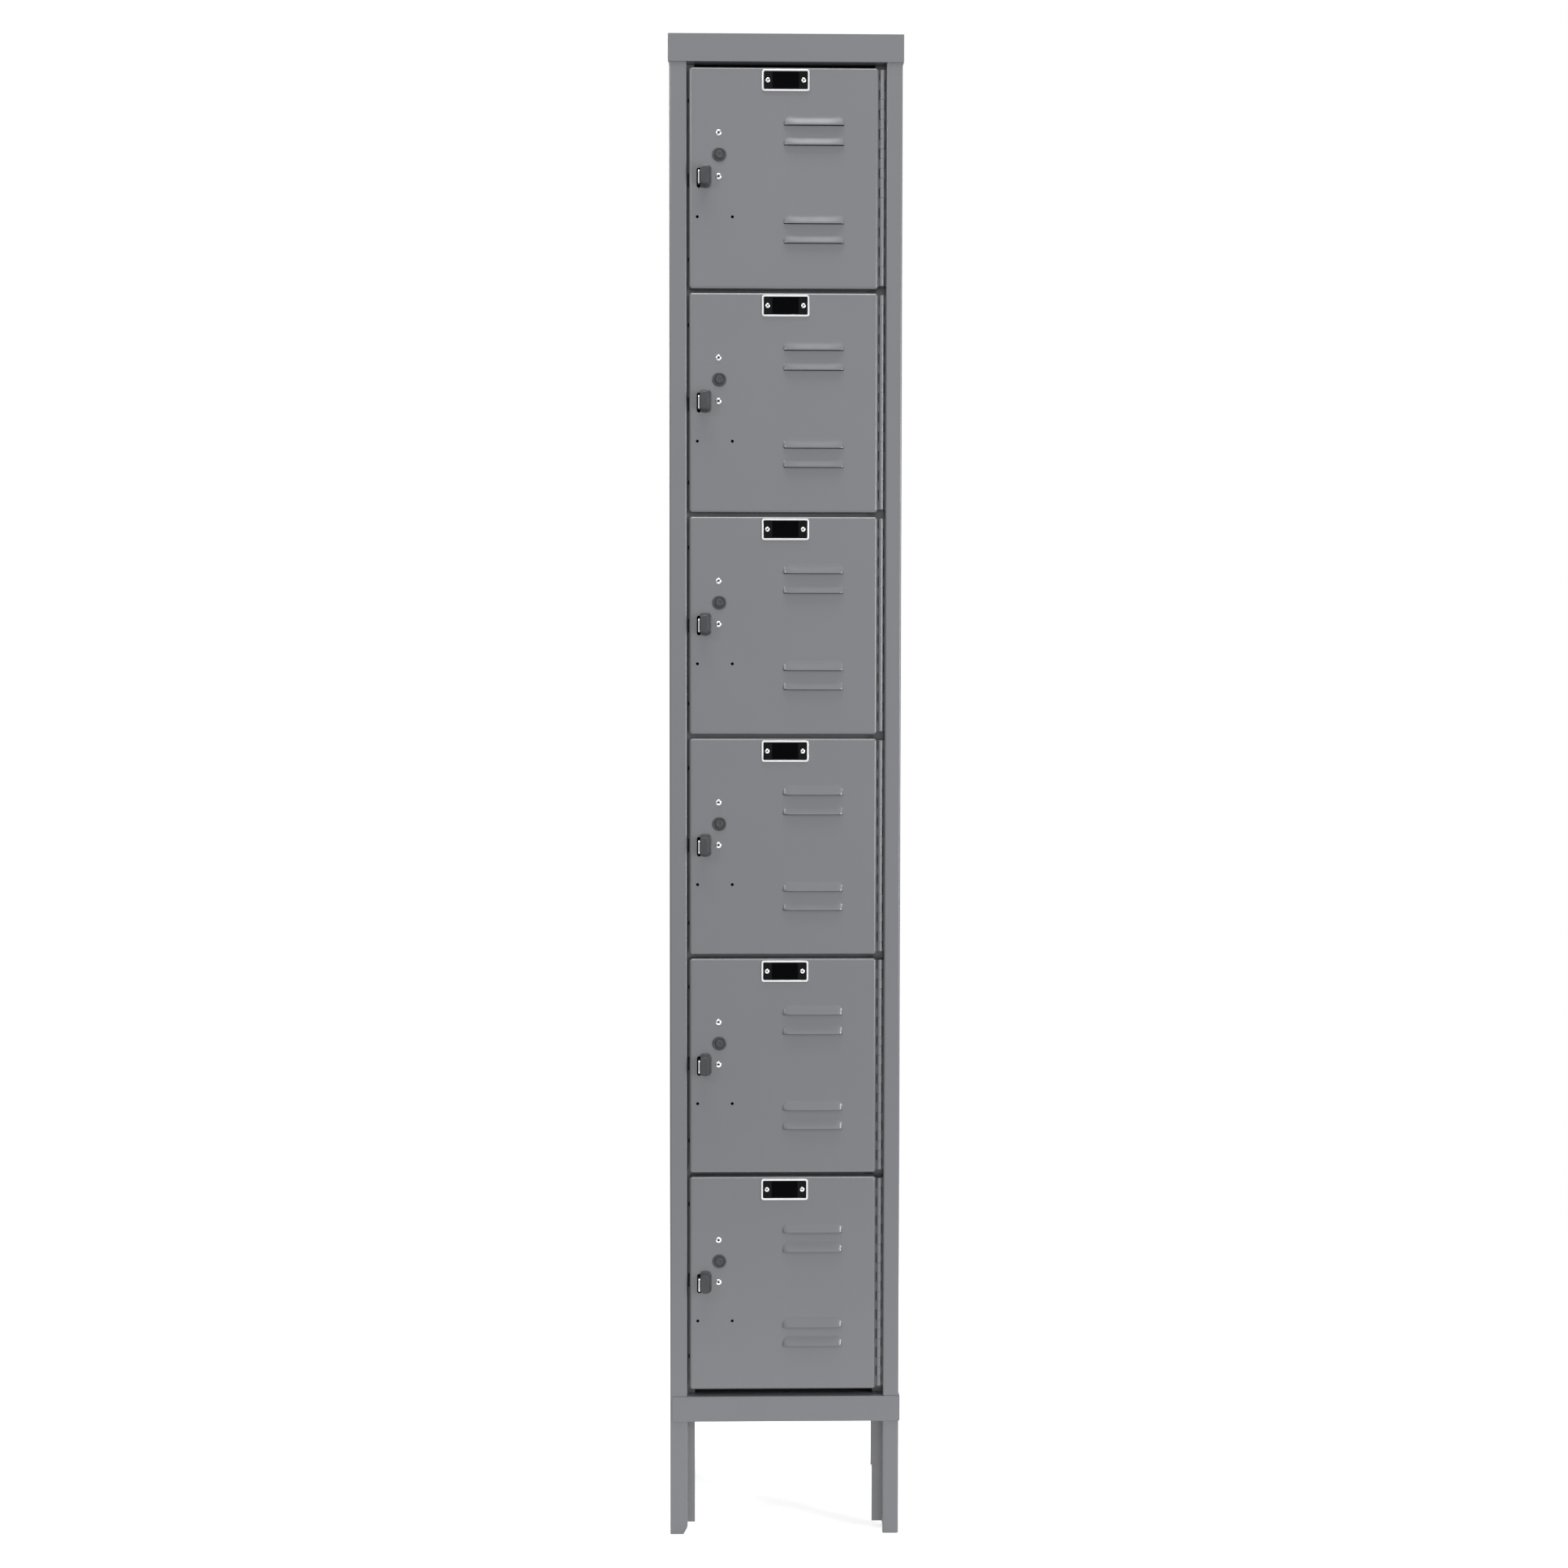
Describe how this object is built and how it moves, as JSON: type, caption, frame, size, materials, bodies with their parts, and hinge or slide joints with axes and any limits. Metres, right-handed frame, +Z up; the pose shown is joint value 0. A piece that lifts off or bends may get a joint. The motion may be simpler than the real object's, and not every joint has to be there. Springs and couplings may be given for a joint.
{
  "type": "box locker cabinet",
  "caption": "Tall single-column steel locker on legs with a stack of louvred doors on long hinges, each with a padlock lug, finger pull and number plate.",
  "frame": {"origin": "on the floor, under the middle of the whole outline (the finger pulls are its frontmost points)", "axes": "+Z up, the doors face -Y, +X to the right of someone facing the doors (the hinge side)"},
  "size_m": [0.3078, 0.3197, 1.9812],
  "materials": {
    "frame_powder_coat": "smooth semi-gloss cool grey powder coat",
    "body_powder_coat": "smooth semi-gloss cool grey powder coat on thin sheet",
    "door_powder_coat": "smooth semi-gloss cool grey powder coat",
    "zinc_steel": "bright zinc plate",
    "plate_aluminium": "bright rim round a black enamelled field, no number on it",
    "black_plastic": "satin black moulding",
    "black_rubber": "matt"
  },
  "bodies": {
    "cabinet": {"left_upright": "frame_powder_coat", "right_upright": "frame_powder_coat", "top_rail": "frame_powder_coat", "bottom_rail": "frame_powder_coat", "cross_members": "body_powder_coat", "left_side_panel": "body_powder_coat", "right_side_panel": "body_powder_coat", "back_panel": "body_powder_coat", "top_panel": "body_powder_coat", "bottom_panel": "body_powder_coat", "shelves": "body_powder_coat", "rear_left_leg": "body_powder_coat", "rear_right_leg": "body_powder_coat", "padlock_lugs": "zinc_steel", "frame_hinge_leaves": "frame_powder_coat", "hinge_pins": "zinc_steel", "body_rivets": "body_powder_coat", "door_silencers": "black_rubber"},
    "door_1": {"door_1_panel": "door_powder_coat", "door_1_hinge_leaf": "frame_powder_coat", "door_1_pull": "black_plastic", "door_1_number_plate": "plate_aluminium", "door_1_rivets": "zinc_steel", "door_1_lock_plug": "black_plastic", "door_1_catch": "zinc_steel"},
    "door_2": {"door_2_panel": "door_powder_coat", "door_2_hinge_leaf": "frame_powder_coat", "door_2_pull": "black_plastic", "door_2_number_plate": "plate_aluminium", "door_2_rivets": "zinc_steel", "door_2_lock_plug": "black_plastic", "door_2_catch": "zinc_steel"},
    "door_3": {"door_3_panel": "door_powder_coat", "door_3_hinge_leaf": "frame_powder_coat", "door_3_pull": "black_plastic", "door_3_number_plate": "plate_aluminium", "door_3_rivets": "zinc_steel", "door_3_lock_plug": "black_plastic", "door_3_catch": "zinc_steel"},
    "door_4": {"door_4_panel": "door_powder_coat", "door_4_hinge_leaf": "frame_powder_coat", "door_4_pull": "black_plastic", "door_4_number_plate": "plate_aluminium", "door_4_rivets": "zinc_steel", "door_4_lock_plug": "black_plastic", "door_4_catch": "zinc_steel"},
    "door_5": {"door_5_panel": "door_powder_coat", "door_5_hinge_leaf": "frame_powder_coat", "door_5_pull": "black_plastic", "door_5_number_plate": "plate_aluminium", "door_5_rivets": "zinc_steel", "door_5_lock_plug": "black_plastic", "door_5_catch": "zinc_steel"},
    "door_6": {"door_6_panel": "door_powder_coat", "door_6_hinge_leaf": "frame_powder_coat", "door_6_pull": "black_plastic", "door_6_number_plate": "plate_aluminium", "door_6_rivets": "zinc_steel", "door_6_lock_plug": "black_plastic", "door_6_catch": "zinc_steel"}
  },
  "joints": [
    {"name": "door_1_hinge", "type": "hinge", "parent": "cabinet", "child": "door_1", "pos_m": [0.1257, -0.1419, 1.79525], "axis": [0, 0, 1], "range_deg": [0, 115]},
    {"name": "door_2_hinge", "type": "hinge", "parent": "cabinet", "child": "door_2", "pos_m": [0.1257, -0.1419, 1.50385], "axis": [0, 0, 1], "range_deg": [0, 115]},
    {"name": "door_3_hinge", "type": "hinge", "parent": "cabinet", "child": "door_3", "pos_m": [0.1257, -0.1419, 1.21245], "axis": [0, 0, 1], "range_deg": [0, 115]},
    {"name": "door_4_hinge", "type": "hinge", "parent": "cabinet", "child": "door_4", "pos_m": [0.1257, -0.1419, 0.92105], "axis": [0, 0, 1], "range_deg": [0, 115]},
    {"name": "door_5_hinge", "type": "hinge", "parent": "cabinet", "child": "door_5", "pos_m": [0.1257, -0.1419, 0.62965], "axis": [0, 0, 1], "range_deg": [0, 115]},
    {"name": "door_6_hinge", "type": "hinge", "parent": "cabinet", "child": "door_6", "pos_m": [0.1257, -0.1419, 0.33825], "axis": [0, 0, 1], "range_deg": [0, 115]}
  ]
}
